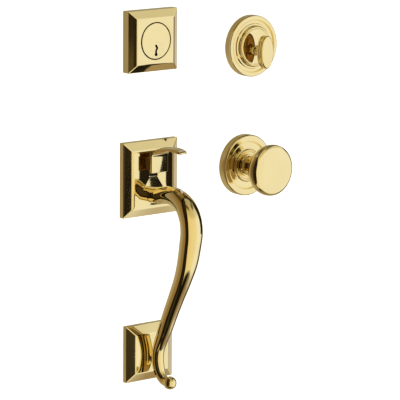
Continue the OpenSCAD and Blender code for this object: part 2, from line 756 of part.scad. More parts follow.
// Knob, inside. Its own axes start at its rose's centre, on the knob's axis.
shank_r = shank_d / 2;
bushing_r = shank_r + 1.3;
bushing_h = 6.4;
hub_wall = 1.4;
knob_hole_r = shank_r + free_gap;
ring_t = 1.2;
ring_top = -0.4;
shank_end = -3;
groove_r = shank_r - 0.9;
ring_r = bushing_r - free_gap;
socket_end = 30;
collar_low = knob_rim + 0.2;

knob_rose_outline = concat(
    [[round_r, 0], [round_r, knob_rim - 2.2]],
    arc([round_r - 2.2, knob_rim - 2.2], 2.2, 10, 90, 5),
    [[25.3, knob_rim], [24.9, knob_rim - 1.5], [18.5, knob_rim - 1.4]],
    arc([18.3, knob_rim + 0.6], 2, 270, 200, 4),
    arc([15.7, knob_rim - 0.2], 0.5, 0, 180, 5),
    arc([13.2, knob_rim + 0.3], 1.6, 340, 270, 4),
    [[12.8, knob_rim - 0.6], [knob_hole_r, knob_rim - 0.6]],
    [[knob_hole_r, 7.1], [13.2, 6.8], [13.6, 6.1], [round_r - round_wall, 6.1]],
    [[round_r - round_wall, 0]]);

module knob_rose() {
    color(brass) on_door(knob_across, 0) rotate_extrude($fn = 96) polygon(knob_rose_outline);
}

module knob_plate() {
    color(steel) on_door(knob_across, 0) difference() {
        union() {
            cylinder(r = plate_r, h = plate_h);
            cylinder(r = bushing_r + hub_wall, h = bushing_h - 0.6);
        }
        translate([0, 0, -past]) cylinder(r = bushing_r, h = bushing_h + 2 * past);
        for (side = [-1, 1]) translate([side * knob_screw_span / 2, 0, -past])
            cylinder(r = screw_d / 2 + free_gap, h = plate_h + 2 * past);
    }
}

module knob_screws() {
    color(steel) on_door(knob_across, 0) for (side = [-1, 1])
        translate([side * knob_screw_span / 2, 0, plate_h]) pan_screw(screw_d, plate_h + screw_reach);
}

module knob_bushing() {
    color(bronze) on_door(knob_across, 0) difference() {
        cylinder(r = bushing_r, h = bushing_h);
        translate([0, 0, -past]) cylinder(r = shank_r + run_gap, h = bushing_h + 2 * past);
    }
}

// Half outline of the knob: shank, collar bead, waist, bowl, rim and nearly flat front
knob_r = knob_d / 2;
knob_front = knob_out - 2.5;
knob_outline = concat(
    [[0, shank_end], [shank_r, shank_end], [shank_r, collar_low], [11, collar_low]],
    arc([11.1, collar_low + 0.6], 0.6, -60, 90, 4),
    smooth([
        [10.3, collar_low + 1.4], [9.2, collar_low + 3.4], [8.9, collar_low + 6.5], [9.3, collar_low + 10],
        [11.2, collar_low + 13.6], [15.2, collar_low + 17.6], [knob_r * 0.75, knob_front - 18.2],
        [knob_r * 0.885, knob_front - 13.4], [knob_r * 0.972, knob_front - 9], [knob_r, knob_front - 5.6],
        [knob_r * 0.985, knob_front - 3.2], [knob_r * 0.945, knob_front - 1.2], [knob_r * 0.895, knob_front]], 3),
    [[knob_r * 0.885, knob_front - 0.15], [knob_r * 0.87, knob_front + 0.1]],
    smooth([[knob_r * 0.86, knob_front + 0.3], [knob_r * 0.6, knob_front + 1.5], [knob_r * 0.3, knob_out - 0.2], [0, knob_out]], 3));

set_screw_r = 2;
set_screw_out = collar_low + 7;

module knob() {
    socket = spindle_w + 0.2;
    color(brass) on_door(knob_across, 0) difference() {
        rotate_extrude($fn = 96) polygon(knob_outline);
        translate([-socket / 2, -socket / 2, shank_end - past]) cube([socket, socket, socket_end - shank_end + past]);
        translate([0, 0, ring_top - ring_t]) difference() {
            cylinder(r = shank_r + past, h = ring_t);
            translate([0, 0, -past]) cylinder(r = groove_r, h = ring_t + 2 * past);
        }
        translate([0, 0, set_screw_out]) rotate([90, 0, 0]) cylinder(r = set_screw_r, h = knob_r);
    }
}

module knob_spindle() {
    chamfer = 1.2;
    length = spindle_reach + socket_end - past;
    color(steel) on_door(knob_across, 0) translate([0, 0, -spindle_reach]) intersection() {
        translate([-spindle_w / 2, -spindle_w / 2, 0]) cube([spindle_w, spindle_w, length]);
        rotate_extrude() polygon([
            [0, 0], [spindle_w / 2, 0], [spindle_w / 2 + 2 * chamfer, 2 * chamfer],
            [spindle_w / 2 + 2 * chamfer, length], [0, length]]);
    }
}

module knob_set_screw() {
    length = 4.4;
    color(steel) on_door(knob_across, 0) translate([0, -spindle_w / 2, set_screw_out]) rotate([90, 0, 0])
        difference() {
            cylinder(r = set_screw_r, h = length);
            translate([0, 0, length - 2]) cylinder(r = 1.1, h = 3, $fn = 6);
        }
}

module knob_ring() {
    color(steel) on_door(knob_across, 0) translate([0, 0, ring_top - ring_t]) difference() {
        cylinder(r = ring_r, h = ring_t);
        translate([0, 0, -past]) cylinder(r = groove_r, h = ring_t + 2 * past);
        translate([-2, 0, -past]) cube([4, shank_d, ring_t + 2 * past]);
    }
}

deadbolt_rose();
cylinder_housing();
chamber_cover();
driver_pins();
pin_springs();
cylinder_plug();
key_pins();
plug_cap();
cylinder_tailpiece();
upper_rose();
upper_posts();
grip();
grip_screw();
lower_rose();
lower_post();
thumb_lever();
lift_arm();
arm_rivets();
thumb_bracket();
bracket_screws();
thumb_pin();
thumb_spring();
turn_rose();
turn_plate();
turn_screws();
turn_washer();
turn_piece();
turn_spindle();
turn_clip();
knob_rose();
knob_plate();
knob_screws();
knob_bushing();
knob();
knob_spindle();
knob_set_screw();
knob_ring();
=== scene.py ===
import math

import bmesh
import bpy
from mathutils import Matrix, Vector
from mathutils.geometry import tessellate_polygon


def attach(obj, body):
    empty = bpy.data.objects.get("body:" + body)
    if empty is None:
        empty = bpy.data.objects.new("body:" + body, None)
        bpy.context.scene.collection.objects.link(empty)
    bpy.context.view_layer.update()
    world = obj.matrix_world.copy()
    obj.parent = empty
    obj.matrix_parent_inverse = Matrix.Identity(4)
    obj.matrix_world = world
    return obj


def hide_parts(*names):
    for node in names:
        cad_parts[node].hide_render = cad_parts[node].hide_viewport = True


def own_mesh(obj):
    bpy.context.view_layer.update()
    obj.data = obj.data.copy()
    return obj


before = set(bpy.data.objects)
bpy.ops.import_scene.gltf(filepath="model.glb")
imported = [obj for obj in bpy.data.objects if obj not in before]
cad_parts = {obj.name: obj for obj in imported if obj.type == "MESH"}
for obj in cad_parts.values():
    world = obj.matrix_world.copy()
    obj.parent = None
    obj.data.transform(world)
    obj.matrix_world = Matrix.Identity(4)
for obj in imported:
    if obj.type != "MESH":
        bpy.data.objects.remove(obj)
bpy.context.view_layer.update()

# The picture and the studio. A long lens looks at the set from the left and a
# little from above, as in the photograph. The units stand free before white, in
# a pale room with one wide soft window. Screens that only reflections see, a narrow
# black one at their left and glowing toned ones about them, are painted reflections.
camera_turn = math.radians(-39.26)
camera_tilt = math.radians(10.6)
camera_roll = math.radians(0.42)
camera_reach = 2.94
lens_pixels = 2911.0
sight = (147.0, 176.9)


def heading(turn, tilt):
    return Vector((math.sin(turn) * math.cos(tilt), -math.cos(turn) * math.cos(tilt), math.sin(tilt)))


level = Vector((math.cos(camera_turn), math.sin(camera_turn), 0))
plumb = Vector((-math.sin(camera_turn) * math.sin(camera_tilt), math.cos(camera_turn) * math.sin(camera_tilt),
                math.cos(camera_tilt)))
right = math.cos(camera_roll) * level + math.sin(camera_roll) * plumb
up = math.cos(camera_roll) * plumb - math.sin(camera_roll) * level
back = heading(camera_turn, camera_tilt)
camera_data = bpy.data.cameras.new("long_lens")
camera_data.sensor_width = 36
camera_data.lens = 36 * lens_pixels / 400
camera_data.clip_end = 60
camera = bpy.data.objects.new("camera", camera_data)
place = (camera_reach * back - (sight[0] - 200) / lens_pixels * camera_reach * right
         + (sight[1] - 200) / lens_pixels * camera_reach * up)
camera.matrix_world = Matrix((
    (right.x, up.x, back.x, place.x), (right.y, up.y, back.y, place.y),
    (right.z, up.z, back.z, place.z), (0, 0, 0, 1)))
bpy.context.scene.collection.objects.link(camera)
bpy.context.scene.camera = camera
bpy.context.scene.view_settings.view_transform = "Standard"
bpy.context.scene.view_settings.look = "None"


def fill_ramp(ramp, stops):
    while len(ramp.elements) > 1:
        ramp.elements.remove(ramp.elements[-1])
    ramp.elements[0].position = stops[0][0]
    ramp.elements[0].color = (*stops[0][1], 1)
    for position, colour in stops[1:]:
        ramp.elements.new(position).color = (*colour, 1)


room = bpy.data.worlds.new("pale_room")
bpy.context.scene.world = room
room.use_nodes = True
tree = room.node_tree
tree.nodes.clear()
link = tree.links.new
ray = tree.nodes.new("ShaderNodeTexCoord")
split = tree.nodes.new("ShaderNodeSeparateXYZ")
link(ray.outputs["Generated"], split.inputs[0])


def sum_up(kind, first, second=None):
    node = tree.nodes.new("ShaderNodeMath")
    node.operation = kind
    for socket, value in zip(node.inputs, (first, second)):
        if isinstance(value, (int, float)):
            socket.default_value = value
        elif value is not None:
            link(value, socket)
    return node.outputs[0]


bearing = sum_up("ARCTAN2", split.outputs["X"], sum_up("MULTIPLY", split.outputs["Y"], -1.0))
bearing = sum_up("ADD", sum_up("DIVIDE", bearing, 2 * math.pi), 0.5)
height = sum_up("ADD", sum_up("DIVIDE", sum_up("ARCSINE", split.outputs["Z"]), math.pi), 0.5)


def wall_band(source, half_turn, stops):
    band = tree.nodes.new("ShaderNodeValToRGB")
    link(source, band.inputs[0])
    fill_ramp(band.color_ramp, [(0.5 + a / (2 * half_turn), c) for a, c in stops])
    return band.outputs[0]


def overlay(kind, share, under, above):
    mix = tree.nodes.new("ShaderNodeMix")
    mix.data_type = "RGBA"
    mix.blend_type = kind
    if isinstance(share, float):
        mix.inputs["Factor"].default_value = share
    else:
        link(share, mix.inputs["Factor"])
    link(under, mix.inputs["A"])
    link(above, mix.inputs["B"])
    return mix.outputs["Result"]


black = (0.010, 0.008, 0.005)
eye_level = wall_band(bearing, 180, [
    (-180, (0.45, 0.38, 0.24)), (-152, (0.44, 0.37, 0.23)), (-141, (0.36, 0.29, 0.20)), (-128, (0.33, 0.22, 0.09)),
    (-104, (0.28, 0.17, 0.06)), (-100, black), (-72, black), (-68, (0.90, 0.74, 0.42)), (-30, (0.93, 0.80, 0.50)),
    (8, (0.95, 0.86, 0.62)), (28, (0.98, 0.97, 0.93)), (60, (0.98, 0.98, 0.97)), (80, (0.92, 0.90, 0.82)),
    (86, (0.10, 0.075, 0.04)), (124, (0.12, 0.09, 0.05)), (138, (0.36, 0.33, 0.25)), (160, (0.45, 0.38, 0.24)),
    (180, (0.45, 0.38, 0.24))])
underneath = wall_band(bearing, 180, [
    (-180, (0.36, 0.27, 0.15)), (-118, (0.34, 0.24, 0.11)), (-104, black), (-4, black), (8, (0.20, 0.16, 0.09)), (48, (0.37, 0.28, 0.17)),
    (120, (0.39, 0.30, 0.19)), (180, (0.36, 0.27, 0.15))])
overhead = wall_band(height, 90, [
    (-90, (1, 1, 1)), (22, (1, 1, 1)), (32, (0.78, 0.75, 0.65)), (43, (0.72, 0.69, 0.58)), (48, (0.20, 0.17, 0.11)),
    (57, (0.16, 0.13, 0.08)), (63, (0.50, 0.47, 0.38)), (90, (0.46, 0.44, 0.37))])
plain_overhead = wall_band(height, 90, [
    (-90, (1, 1, 1)), (22, (1, 1, 1)), (32, (0.78, 0.75, 0.65)), (43, (0.72, 0.69, 0.58)), (90, (0.46, 0.44, 0.37))])
ring_part = wall_band(bearing, 180, [
    (-180, (1, 1, 1)), (-32, (1, 1, 1)), (-22, (0, 0, 0)), (12, (0, 0, 0)), (22, (1, 1, 1)), (180, (1, 1, 1))])
front_part = wall_band(bearing, 180, [
    (-180, (1, 1, 1)), (-76, (1, 1, 1)), (-66, (0, 0, 0)), (56, (0, 0, 0)), (66, (1, 1, 1)), (180, (1, 1, 1))])
below = overlay("MIX", front_part,
                wall_band(height, 90, [(-90, (1, 1, 1)), (-55, (1, 1, 1)), (-50, (0, 0, 0)), (90, (0, 0, 0))]),
                wall_band(height, 90, [(-90, (1, 1, 1)), (-48, (1, 1, 1)), (-42, (0, 0, 0)), (90, (0, 0, 0))]))
room_glow = overlay("MULTIPLY", 1.0, overlay("MIX", below, eye_level, underneath),
                    overlay("MIX", ring_part, plain_overhead, overhead))
seen = tree.nodes.new("ShaderNodeLightPath")
shown = tree.nodes.new("ShaderNodeMix")
shown.data_type = "RGBA"
link(seen.outputs["Is Camera Ray"], shown.inputs["Factor"])
link(room_glow, shown.inputs["A"])
shown.inputs["B"].default_value = (1, 1, 1, 1)
light = tree.nodes.new("ShaderNodeBackground")
link(shown.outputs["Result"], light.inputs["Color"])
link(light.outputs[0], tree.nodes.new("ShaderNodeOutputWorld").inputs[0])


def stage_piece(name, corners, faces, colour, glow):
    mesh = bpy.data.meshes.new(name)
    mesh.from_pydata(corners, [], faces)
    thing = bpy.data.objects.new(name, mesh)
    bpy.context.scene.collection.objects.link(thing)
    finish = bpy.data.materials.new(name)
    finish.use_nodes = True
    shader = finish.node_tree.nodes["Principled BSDF"]
    mottle = finish.node_tree.nodes.new("ShaderNodeTexNoise")
    mottle.inputs["Scale"].default_value = 3
    spread = finish.node_tree.nodes.new("ShaderNodeValToRGB")
    fill_ramp(spread.color_ramp, [(0.2, colour), (0.8, [0.97 * c for c in colour])])
    finish.node_tree.links.new(mottle.outputs[0], spread.inputs[0])
    finish.node_tree.links.new(spread.outputs[0], shader.inputs["Base Color"])
    shader.inputs["Roughness"].default_value = 0.9
    if glow:
        finish.node_tree.links.new(spread.outputs[0], shader.inputs["Emission Color"])
        shader.inputs["Emission Strength"].default_value = glow
    mesh.materials.append(finish)
    return thing


floor = stage_piece("floor", [(-9, -9, -0.3), (9, -9, -0.3), (9, 9, -0.3), (-9, 9, -0.3)], [(0, 1, 2, 3)],
                    (0.97, 0.97, 0.97), 1.0)
floor.visible_glossy = False


def stand_reflection_screen(name, plan, low, high, axis, stops):
    """A folding screen that only reflections see, its glowing tone a painted reflection. Its tone runs along one axis,
    in millimetres.
    """
    corners = [(x / 1000, y / 1000, z / 1000) for z in (low, high) for x, y in plan]
    n = len(plan)
    screen = stage_piece(name, corners, [(i, i + 1, i + 1 + n, i + n) for i in range(n - 1)], stops[0][1], 0)
    nodes, links = screen.data.materials[0].node_tree.nodes, screen.data.materials[0].node_tree.links
    where, part, span = (nodes.new("ShaderNode" + kind) for kind in ("TexCoord", "SeparateXYZ", "MapRange"))
    links.new(where.outputs["Object"], part.inputs[0])
    links.new(part.outputs[axis], span.inputs["Value"])
    start, end = stops[0][0], stops[-1][0]
    span.inputs["From Min"].default_value = start / 1000
    span.inputs["From Max"].default_value = end / 1000
    tone = nodes.new("ShaderNodeValToRGB")
    fill_ramp(tone.color_ramp, [((at - start) / (end - start), colour) for at, colour in stops])
    links.new(span.outputs[0], tone.inputs[0])
    shader = nodes["Principled BSDF"]
    links.new(tone.outputs[0], shader.inputs["Emission Color"])
    shader.inputs["Emission Strength"].default_value = 1
    shader.inputs["Specular IOR Level"].default_value = 0
    for source in list(shader.inputs["Base Color"].links):
        links.remove(source)
    links.new(nodes["Noise Texture"].outputs[0], nodes["Color Ramp"].inputs[0])
    fill_ramp(nodes["Color Ramp"].color_ramp, [(0.2, black), (0.8, black)])
    links.new(nodes["Color Ramp"].outputs[0], shader.inputs["Base Color"])
    for way in ("camera", "diffuse", "shadow", "transmission"):
        setattr(screen, "visible_" + way, False)


# Painted reflections: each screen's black or glowing tone stands for what the brass reflects there.
stand_reflection_screen("black_reflection_screen", [(-50, -66), (-50, -94)], -260, 200, "Z",
             [(-260, black), (-20, black), (60, (0.03, 0.02, 0.01)), (200, black)])
stand_reflection_screen("brown_reflection_screen", [(-125, -66), (-50, -66)], -260, 200, "Z",
             [(-260, (0.035, 0.03, 0.015)), (-60, (0.03, 0.024, 0.016)), (-20, (0.055, 0.038, 0.034)),
              (50, (0.055, 0.038, 0.030)), (110, (0.09, 0.065, 0.025)), (140, (0.03, 0.02, 0.012)), (200, black)])
stand_reflection_screen("knob_reflection_screen", [(80, -116), (80, 12)], -62, 58, "Y",
             [(-116, black), (-50, black), (-38, (0.08, 0.05, 0.02)), (-24, (0.20, 0.13, 0.05)),
              (12, (0.28, 0.19, 0.09))])
stand_reflection_screen("turn_reflection_screen", [(80, -62), (80, -8)], 84, 164, "Y",
             [(-62, black), (-50, (0.02, 0.014, 0.006)), (-36, (0.10, 0.065, 0.025)), (-22, (0.22, 0.14, 0.05)),
              (-8, (0.20, 0.13, 0.06))])
stand_reflection_screen("tan_reflection_screen", [(76, -48), (76, 12)], -62, 58, "Y",
             [(-48, (0.40, 0.31, 0.19)), (12, (0.36, 0.27, 0.16))])
stand_reflection_screen("low_reflection_screen", [(-125, -66), (-37, -66)], -262, -138, "Z",
             [(-262, (0.03, 0.02, 0.014)), (-138, (0.05, 0.04, 0.02))])
stand_reflection_screen("pale_reflection_screen", [(73, -8), (73, 14)], -240, 176, "Y",
             [(-8, (0.60, 0.58, 0.64)), (14, (0.68, 0.66, 0.78))])

# Deadbolt rose. A square cover pressed and bevelled in brass, hollow behind, with
# a round ledge that the lock cylinder's head seats on. It is polished bright and
# lacquered, and the through screws clamp it to the door.
bolt_up = 139.7
bolt_rose = 62.2
bolt_side, bolt_bevel, bolt_rise, bolt_soft = 8.7, 8.0, 5.1, 4.0
bolt_face = bolt_side + bolt_rise
wall, face_t = 3.2, 3.0
edge_round = 0.5
mitre_round = 0.9
head_r = 18.0
head_hole_r = head_r + 1.0
body_hole_r = 17.3
ledge_t = 3.5
boss_r = head_hole_r + wall - 0.3


def on_door(points, across, rise):
    return [Vector(((across + x) / 1000, -z / 1000, (rise + y) / 1000)) for x, y, z in points]


def corner_ring(w, h, round_r, z, steps=5):
    points = []
    for sx, sy, start in ((1, 1, 0), (-1, 1, 90), (-1, -1, 180), (1, -1, 270)):
        for i in range(steps + 1):
            a = math.radians(start + 90 * i / steps)
            points.append((sx * (w / 2 - round_r) + round_r * math.cos(a),
                           sy * (h / 2 - round_r) + round_r * math.sin(a), z))
    return points


def circle_ring(r, z, steps=128, drop=0.0):
    return [(r * math.cos(2 * math.pi * i / steps), r * math.sin(2 * math.pi * i / steps) - drop, z)
            for i in range(steps)]


def bevel_profile(side, run, rise, soft, base):
    slope = math.atan2(rise, run)
    inset = run + soft * math.tan(slope / 2)
    top = side + rise
    shoulder = side - edge_round * math.cos(slope) + edge_round * (1 - math.sin(slope)) * math.tan(slope)
    steps = [(0, base), (0, shoulder - 0.15)]
    for i in range(5):
        a = (math.pi / 2 - slope) * i / 4
        steps.append((edge_round - edge_round * math.cos(a), shoulder + edge_round * math.sin(a)))
    last = steps[-1]
    first_a = math.pi / 2 - slope
    start = (inset - soft * math.cos(first_a), top - soft + soft * math.sin(first_a))
    for share in (0.03, 0.97):
        steps.append((last[0] + (start[0] - last[0]) * share, last[1] + (start[1] - last[1]) * share))
    for i in range(9):
        a = first_a + slope * i / 8
        steps.append((inset - soft * math.cos(a), top - soft + soft * math.sin(a)))
    steps.append((inset + 0.25, top))
    return steps


def skin_rings(faces, start, rings, count):
    for i in range(rings - 1):
        for k in range(count):
            a = start + i * count + k
            b = start + i * count + (k + 1) % count
            faces.append((a, b, b + count, a + count))


def flat_between(faces, points, outer, inner):
    loops = [[Vector(points[i]) for i in outer], [Vector(points[i]) for i in inner]]
    names = list(outer) + list(inner)
    for tri in tessellate_polygon(loops):
        faces.append(tuple(names[i] for i in tri))


def make_piece(name, points, faces, sharp=32, weld=0.00001):
    mesh = bpy.data.meshes.new(name)
    mesh.from_pydata(points, [], faces)
    work = bmesh.new()
    work.from_mesh(mesh)
    bmesh.ops.remove_doubles(work, verts=work.verts, dist=weld)
    bmesh.ops.recalc_face_normals(work, faces=work.faces)
    for face in work.faces:
        face.smooth = True
    work.to_mesh(mesh)
    work.free()
    mesh.set_sharp_from_angle(angle=math.radians(sharp))
    piece = bpy.data.objects.new(name, mesh)
    bpy.context.scene.collection.objects.link(piece)
    return piece


def bevelled_shell(w, h, side, run, rise, soft):
    """Rings from the back rim over the bevel to the face, and from the face's underside back to the rim."""
    outer = [corner_ring(w - 2 * d, h - 2 * d, mitre_round, z) for d, z in bevel_profile(side, run, rise, soft, 0)]
    inner_w, inner_h = w - 2 * wall, h - 2 * wall
    inner = [corner_ring(inner_w - 2 * d, inner_h - 2 * d, mitre_round, z)
             for d, z in ((0, 0), (0, side - face_t), (run, side - face_t + rise))]
    return outer, inner


def polish_group():
    """Cloudy differences in a polish, and the faint ripple and hairlines that a buffing wheel leaves."""
    group = bpy.data.node_groups.new("buffed_polish", "ShaderNodeTree")
    for label, value in (("Cloud Size", 60.0), ("Hairline Size", 900.0), ("Ripple Size", 40.0)):
        group.interface.new_socket(label, in_out="INPUT", socket_type="NodeSocketFloat").default_value = value
    for label in ("Cloud", "Hairline", "Ripple"):
        group.interface.new_socket(label, in_out="OUTPUT", socket_type="NodeSocketFloat")
    inside = group.nodes.new("NodeGroupInput")
    outside = group.nodes.new("NodeGroupOutput")
    where = group.nodes.new("ShaderNodeTexCoord")
    stretch = group.nodes.new("ShaderNodeMapping")
    stretch.inputs["Scale"].default_value = (1.0, 0.3, 0.06)
    group.links.new(where.outputs["Object"], stretch.inputs["Vector"])
    for label, source, detail in (("Cloud", where.outputs["Object"], 3), ("Hairline", stretch.outputs[0], 2),
                                  ("Ripple", where.outputs["Object"], 0)):
        noise = group.nodes.new("ShaderNodeTexNoise")
        noise.inputs["Detail"].default_value = detail
        group.links.new(source, noise.inputs["Vector"])
        group.links.new(inside.outputs[label + " Size"], noise.inputs["Scale"])
        group.links.new(noise.outputs[0], outside.inputs[label])
    return group


buffed = polish_group()


def metal(name, light_tone, dark_tone, rough, sizes, ripple, coat=0.0):
    """A metal whose tone and gloss change a little from place to place, with a buffed ripple in it."""
    finish = bpy.data.materials.new(name)
    finish.use_nodes = True
    nodes, links = finish.node_tree.nodes, finish.node_tree.links
    shader = nodes["Principled BSDF"]
    shader.inputs["Metallic"].default_value = 1
    shader.inputs["Coat Weight"].default_value = coat
    shader.inputs["Coat Roughness"].default_value = 0.04
    polish = nodes.new("ShaderNodeGroup")
    polish.node_tree = buffed
    for label, value in zip(("Cloud Size", "Hairline Size", "Ripple Size"), sizes):
        polish.inputs[label].default_value = value
    tone = nodes.new("ShaderNodeValToRGB")
    fill_ramp(tone.color_ramp, [(0.35, dark_tone), (0.65, light_tone)])
    links.new(polish.outputs["Cloud"], tone.inputs[0])
    links.new(tone.outputs[0], shader.inputs["Base Color"])
    gloss = nodes.new("ShaderNodeMapRange")
    gloss.inputs["From Min"].default_value = 0.3
    gloss.inputs["From Max"].default_value = 0.7
    gloss.inputs["To Min"].default_value = rough[0]
    gloss.inputs["To Max"].default_value = rough[1]
    links.new(polish.outputs["Hairline"], gloss.inputs["Value"])
    links.new(gloss.outputs[0], shader.inputs["Roughness"])
    dent = nodes.new("ShaderNodeBump")
    dent.inputs["Strength"].default_value = ripple[0]
    dent.inputs["Distance"].default_value = ripple[1]
    links.new(polish.outputs["Ripple"], dent.inputs["Height"])
    links.new(dent.outputs[0], shader.inputs["Normal"])
    return finish


bright_brass = metal("bright_brass", (0.90, 0.77, 0.42), (0.88, 0.745, 0.395), (0.03, 0.07),
                     (45.0, 700.0, 55.0), (0.25, 0.0002), coat=0.1)


# Duller, rougher brass for faces in the bore and towards the door; its dark brown tone is painted shade.
unbuffed_and_shaded_brass = metal("unbuffed_and_shaded_brass", (0.34, 0.20, 0.07), (0.26, 0.14, 0.045), (0.24, 0.38),
                       (70.0, 900.0, 300.0), (0.3, 0.0002))


def dress(piece, finish, slot, body, *nodes, shaded_faces=None):
    """Gives a piece its finish, and its faces in shade a duller brass that no wheel has buffed, whose darker tone is
    painted shade.
    """
    piece.data.materials.clear()
    piece.data.materials.append(finish)
    if shaded_faces:
        piece.data.materials.append(unbuffed_and_shaded_brass)
        for face in piece.data.polygons:
            face.material_index = 1 if shaded_faces(face) else 0
    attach(piece, body)
    if nodes:
        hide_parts(*nodes)


outer, inner = bevelled_shell(bolt_rose, bolt_rose, bolt_side, bolt_bevel, bolt_rise, bolt_soft)
count = len(outer[0])
points = [p for ring in inner[::-1] + outer for p in ring]
faces = []
skin_rings(faces, 0, len(inner) + len(outer), count)
seat = bolt_face - face_t
hole = [(boss_r, seat), (boss_r, 0), (body_hole_r, 0), (body_hole_r, ledge_t), (head_hole_r, ledge_t),
        (head_hole_r, bolt_face - 0.25), (head_hole_r + 0.07, bolt_face - 0.07), (head_hole_r + 0.25, bolt_face)]
start = len(points)
points += [p for r, z in hole for p in circle_ring(r, z)]
skin_rings(faces, start, len(hole), 128)
flat_between(faces, points, range(0, count), range(start, start + 128))
flat_between(faces, points, range(start - count, start), range(len(points) - 128, len(points)))
deadbolt_cover = make_piece("deadbolt_cover", on_door(points, 0, bolt_up), faces)


# The bore wall round the cylinder head gets the darker brass, as painted shade in the gap.
def in_the_bore(face):
    away = math.hypot(face.center.x, face.center.z - bolt_up / 1000) * 1000
    return away < head_hole_r + 0.04 and -face.center.y * 1000 < bolt_face - 0.2


dress(deadbolt_cover, bright_brass, "polished_brass", "door_side", "deadbolt_rose", shaded_faces=in_the_bore)

# Lock cylinder. A round brass housing whose polished head lies flush in the rose,
# with a plug that the key turns, and behind the door the bored chambers of five
# pins, their springs, a cover strip, the plug's screwed cap and the tailpiece.
turned_brass = metal("turned_brass", (0.80, 0.64, 0.32), (0.70, 0.54, 0.26), (0.16, 0.30),
                     (120.0, 1500.0, 500.0), (0.15, 0.0001))
plated_steel = metal("plated_steel", (0.70, 0.70, 0.68), (0.58, 0.59, 0.58), (0.22, 0.42),
                     (160.0, 1200.0, 700.0), (0.3, 0.0001))
spring_wire = metal("spring_wire", (0.42, 0.42, 0.43), (0.30, 0.30, 0.31), (0.20, 0.38),
                    (300.0, 2500.0, 900.0), (0.2, 0.0001))
sintered_bronze = metal("sintered_bronze", (0.60, 0.40, 0.22), (0.46, 0.29, 0.15), (0.35, 0.55),
                        (600.0, 2200.0, 1800.0), (0.5, 0.0002))


def finish_nodes(finish, *names):
    for name in names:
        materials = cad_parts[name].data.materials
        materials.clear()
        materials.append(finish)


def tree_kit(label, *sizes):
    """An empty geometry tree with named inputs, and short ways to add and join its nodes."""
    tree = bpy.data.node_groups.new(label, "GeometryNodeTree")
    tree.interface.new_socket("Geometry", in_out="INPUT", socket_type="NodeSocketGeometry")
    for size in sizes:
        kind = {"Turn": "Vector", "Finish": "Material", "Sides": "Int", "Rings": "Int"}.get(size, "Float")
        tree.interface.new_socket(size, in_out="INPUT", socket_type="NodeSocket" + kind)
    tree.interface.new_socket("Geometry", in_out="OUTPUT", socket_type="NodeSocketGeometry")
    source = tree.nodes.new("NodeGroupInput")

    def add(kind, mode=None, **values):
        node = tree.nodes.new(kind)
        if mode:
            setattr(node, mode[0], mode[1])
        for key, value in values.items():
            socket = node.inputs[int(key[1:])] if key[1:].isdigit() else node.inputs[key.replace("_", " ")]
            if isinstance(value, bpy.types.NodeSocket):
                tree.links.new(value, socket)
            else:
                socket.default_value = value
        return node
    return tree, source, add


def finish_tree(tree, source, add, shape):
    """Sets the shape on every point, turned one way, as one real mesh in its finish."""
    placed = add("GeometryNodeInstanceOnPoints", Points=source.outputs["Geometry"], Instance=shape,
                 Rotation=source.outputs["Turn"])
    real = add("GeometryNodeRealizeInstances", Geometry=placed.outputs[0])
    finished = add("GeometryNodeSetMaterial", Geometry=real.outputs[0], Material=source.outputs["Finish"])
    tree.links.new(finished.outputs[0], tree.nodes.new("NodeGroupOutput").inputs[0])


def grow(name, tree, places, values, sharp=40):
    """Runs a tree on a few points and keeps the result as a plain mesh."""
    seed = bpy.data.meshes.new(name + "_places")
    seed.from_pydata(places, [], [])
    piece = bpy.data.objects.new(name, seed)
    bpy.context.scene.collection.objects.link(piece)
    step = piece.modifiers.new("grow", "NODES")
    step.node_group = tree
    for socket in tree.interface.items_tree:
        if socket.in_out == "INPUT" and socket.name in values:
            step[socket.identifier] = values[socket.name]
    grown = bpy.data.meshes.new_from_object(piece.evaluated_get(bpy.context.evaluated_depsgraph_get()))
    piece.modifiers.clear()
    piece.data = grown
    bpy.data.meshes.remove(seed)
    work = bmesh.new()
    work.from_mesh(grown)
    bmesh.ops.remove_doubles(work, verts=work.verts, dist=0.000002)
    bmesh.ops.recalc_face_normals(work, faces=work.faces)
    for face in work.faces:
        face.smooth = True
    work.to_mesh(grown)
    work.free()
    grown.set_sharp_from_angle(angle=math.radians(sharp))
    return piece


coil_tree, source, add = tree_kit("wound_coil", "Coil Radius", "Wire Radius", "Turns", "Height", "Turn", "Finish")
helix = add("GeometryNodeCurveSpiral", Resolution=24, Rotations=source.outputs["Turns"],
            Start_Radius=source.outputs["Coil Radius"], End_Radius=source.outputs["Coil Radius"],
            Height=source.outputs["Height"])
wire_round = add("GeometryNodeCurvePrimitiveCircle", Resolution=8, Radius=source.outputs["Wire Radius"])
wound = add("GeometryNodeCurveToMesh", Curve=helix.outputs[0], Profile_Curve=wire_round.outputs[0], Fill_Caps=True)
finish_tree(coil_tree, source, add, wound.outputs[0])

plug_drop, plug_r = 8.5, 7.0
driver_top, cover_low, pin_r, spring_wire_t = plug_r - plug_drop + 0.4 + 3, 12 - 1.5, 1.4, 0.4
pin_coils = grow("pin_coils", coil_tree,
                 on_door([(0, driver_top + spring_wire_t / 2, -13.8 + 3.6 * i) for i in range(5)], 0, bolt_up),
                 {"Coil Radius": (pin_r - spring_wire_t / 2) / 1000, "Wire Radius": spring_wire_t / 2000,
                  "Turns": 6.0, "Height": (cover_low - driver_top - spring_wire_t) / 1000,
                  "Turn": (0.0, 0.0, 0.0), "Finish": spring_wire})
dress(pin_coils, spring_wire, "spring_steel", "door_side", "pin_springs")
finish_nodes(bright_brass, "cylinder_housing", "cylinder_plug")
finish_nodes(turned_brass, "key_pins", "plug_cap")
finish_nodes(plated_steel, "chamber_cover", "driver_pins", "cylinder_tailpiece")

